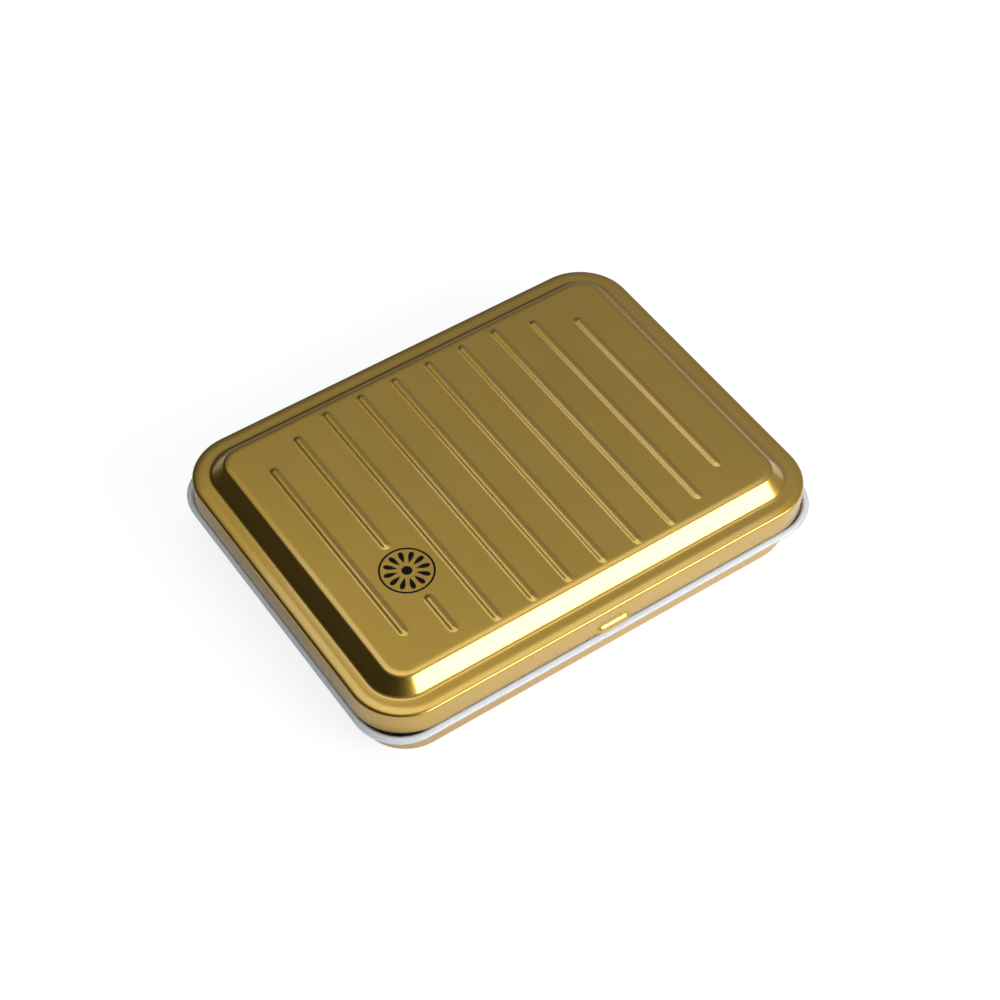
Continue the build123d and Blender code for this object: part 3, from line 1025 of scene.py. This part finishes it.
COLOURS = {
    "front": [
        ("lemon_yellow", (0.93, 0.72, 0.03)), ("cadmium_orange", (0.86, 0.27, 0.015)),
        ("scarlet", (0.62, 0.035, 0.02)), ("carmine", (0.30, 0.008, 0.03)),
        ("ultramarine", (0.012, 0.025, 0.28)), ("cerulean", (0.01, 0.16, 0.36)),
    ],
    "back": [
        ("emerald", (0.006, 0.17, 0.08)), ("sap_green", (0.075, 0.14, 0.015)),
        ("yellow_ochre", (0.47, 0.24, 0.045)), ("burnt_sienna", (0.22, 0.055, 0.015)),
        ("burnt_umber", (0.07, 0.03, 0.013)), ("ivory_black", (0.013, 0.013, 0.015)),
    ],
}
# How deep a brush has worn each cake, in millimetres
USED = (0.9, 0.25, 0.7, 0.1, 1.1, 0.5, 0.15, 0.8, 0.6, 0.35, 0.2, 0.45)
for row, colours in COLOURS.items():
    for column, (colour, rgb) in enumerate(colours):
        node = f"paint_{row}_{column + 1}"
        seed = column + 1 + (PAN_COLUMNS if row == "back" else 0)
        low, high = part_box(node)
        material = cake_colour(f"watercolour_{colour}", rgb)
        piece = cake(f"cake_{colour}", low, high, material, seed, USED[seed - 1])
        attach(piece, "base")
        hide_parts(node)

for node, material in (
    ("pan_rail_front", rail_metal), ("pan_rail_back", rail_metal),
    ("hinge_pin_left", pin_metal), ("hinge_pin_right", pin_metal),
    ("thumb_ring", nickel), ("thumb_ring_strap", nickel), ("strap_rivets", nickel),
):
    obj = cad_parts[node]
    obj.data.materials.clear()
    obj.data.materials.append(material)


# Studio

BRIGHT_SIDE = (0.6, -0.15, 0.78)
DAYLIGHT = (0.93, 0.975, 1.0)
ROOM_TINT = (0.97, 0.985, 1.0)
ROOM_DIM = 0.03
ROOM_BRIGHT = 0.34
FLOOR_HALF = 1.6
FLOOR_Z = -0.02 * MM
CAMERA_PLACE = (-0.192683, -0.281811, 0.424729)
CAMERA_DEGREES = (-34.455, 50.554, 0.2456)
SENSOR_WIDTH = 36.0
LENS = 83.125


def floor_material():
    """Matt pale paper that the camera sees as near white, with the tin's shadow kept.

    Gloss rays see a painted pool of light on it: it glows brighter towards the front right,
    where the key lamp stands, and is duller elsewhere.
    """
    recipe = Recipe(bpy.data.materials.new("pale_paper"))

    def paper(albedo, glow):
        matt = recipe.add("ShaderNodeBsdfDiffuse", inputs={"Color": (albedo, albedo, albedo, 1)})
        lit = recipe.add("ShaderNodeEmission", inputs={"Color": (1, 1, 1, 1), "Strength": glow})
        return recipe.add("ShaderNodeAddShader", inputs={0: matt, 1: lit})

    camera_ray = recipe.add("ShaderNodeLightPath", output="Is Camera Ray")
    clear_ray = recipe.add("ShaderNodeLightPath", output="Is Transmission Ray")
    glossy_ray = recipe.add("ShaderNodeLightPath", output="Is Glossy Ray")
    seen = recipe.maths("MAXIMUM", camera_ray, clear_ray)
    x, y, _ = recipe.axes(recipe.position())
    # painted light: for gloss rays the paper glows and is paler on the front right side, a pool
    # of light painted for the metal to mirror
    painted_light_side = recipe.between(x * 0.5 - y * 0.85, -0.04, 0.05)
    in_metal = recipe.add(
        "ShaderNodeMixShader", inputs={0: painted_light_side, 1: paper(0.75, 0.0), 2: paper(0.9, 0.28)}
    )
    lighting = recipe.add(
        "ShaderNodeMixShader", inputs={0: glossy_ray, 1: paper(0.8, 0.0), 2: in_metal}
    )
    mixed = recipe.add(
        "ShaderNodeMixShader", inputs={0: seen, 1: lighting, 2: paper(0.3, 0.84)}
    )
    recipe.add("ShaderNodeOutputMaterial", inputs={"Surface": mixed})
    return recipe.owner


def studio_world():
    """White to the camera, and a soft room that is lighter towards the upper right."""
    world = bpy.data.worlds.new("soft_room")
    bpy.context.scene.world = world
    recipe = Recipe(world)
    heading = recipe.add("ShaderNodeTexCoord", output="Generated")
    toward = recipe.add(
        "ShaderNodeVectorMath", {"operation": "DOT_PRODUCT"},
        {0: heading, 1: BRIGHT_SIDE}, output="Value",
    )

    def backdrop(colour, strength):
        inputs = {"Color": (*colour, 1), "Strength": strength}
        return recipe.add("ShaderNodeBackground", inputs=inputs)

    room = recipe.add("ShaderNodeMixShader", inputs={
        0: recipe.between(toward, 0.1, 0.85),
        1: backdrop(ROOM_TINT, ROOM_DIM),
        2: backdrop(ROOM_TINT, ROOM_BRIGHT),
    })
    white = backdrop((1, 1, 1), 1.0)
    camera_ray = recipe.add("ShaderNodeLightPath", output="Is Camera Ray")
    mixed = recipe.add("ShaderNodeMixShader", inputs={0: camera_ray, 1: room, 2: white})
    recipe.add("ShaderNodeOutputWorld", inputs={"Surface": mixed})


def softbox(name, towards, distance, size, level, up=(0, 0, 1), shown=True):
    """A rectangular lamp in the direction towards, turned to face the tin, of this radiance.

    A lamp that isn't shown lights matt surfaces only, and metal doesn't mirror it.
    """
    data = bpy.data.lights.new(name, "AREA")
    data.shape = "RECTANGLE"
    data.size, data.size_y = size
    data.energy = level * math.pi * size[0] * size[1]
    data.color = DAYLIGHT
    lamp = bpy.data.objects.new(name, data)
    away = Vector(towards).normalized()
    side = Vector(up).cross(away).normalized()
    top = away.cross(side)
    turned = Matrix((side, top, away)).transposed().to_4x4()
    lamp.matrix_world = Matrix.Translation(away * distance) @ turned
    lamp.visible_camera = False
    lamp.visible_glossy = shown
    bpy.context.scene.collection.objects.link(lamp)


def photograph_camera():
    """The camera that was fitted to the photograph's straight edges."""
    data = bpy.data.cameras.new("camera")
    data.sensor_width = SENSOR_WIDTH
    data.lens = LENS
    data.clip_start, data.clip_end = 0.01, 10.0
    camera = bpy.data.objects.new("camera", data)
    bpy.context.scene.collection.objects.link(camera)
    azimuth, elevation, roll = (math.radians(a) for a in CAMERA_DEGREES)
    back = Vector((
        math.sin(azimuth) * math.cos(elevation),
        -math.cos(azimuth) * math.cos(elevation),
        math.sin(elevation),
    ))
    right = (-back).cross(Vector((0, 0, 1))).normalized()
    up = back.cross(right)
    turned_right = right * math.cos(roll) + up * math.sin(roll)
    turned_up = up * math.cos(roll) - right * math.sin(roll)
    turned = Matrix((turned_right, turned_up, back)).transposed().to_4x4()
    camera.matrix_world = Matrix.Translation(CAMERA_PLACE) @ turned
    bpy.context.scene.camera = camera


FLOOR_CORNERS = ((-1, -1), (1, -1), (1, 1), (-1, 1))
floor = new_object(
    "floor", [(x * FLOOR_HALF, y * FLOOR_HALF, FLOOR_Z) for x, y in FLOOR_CORNERS],
    [(0, 1, 2, 3)], [floor_material()],
)
studio_world()
softbox("front_key", (0.36, -0.78, 0.50), 0.9, (0.66, 0.24), 8.8)
softbox("overhead", (0.0, 0.25, 1.0), 1.0, (0.38, 0.72), 1.25, up=(0, 1, 0))
softbox("side_fill", (-0.9, -0.3, 0.32), 0.9, (0.6, 0.4), 3.0, shown=False)
softbox("overhead_front", (0.37, -0.02, 1.0), 1.0, (0.32, 0.56), 1.2, up=(0, 1, 0))
photograph_camera()
bpy.context.scene.view_settings.view_transform = "Standard"
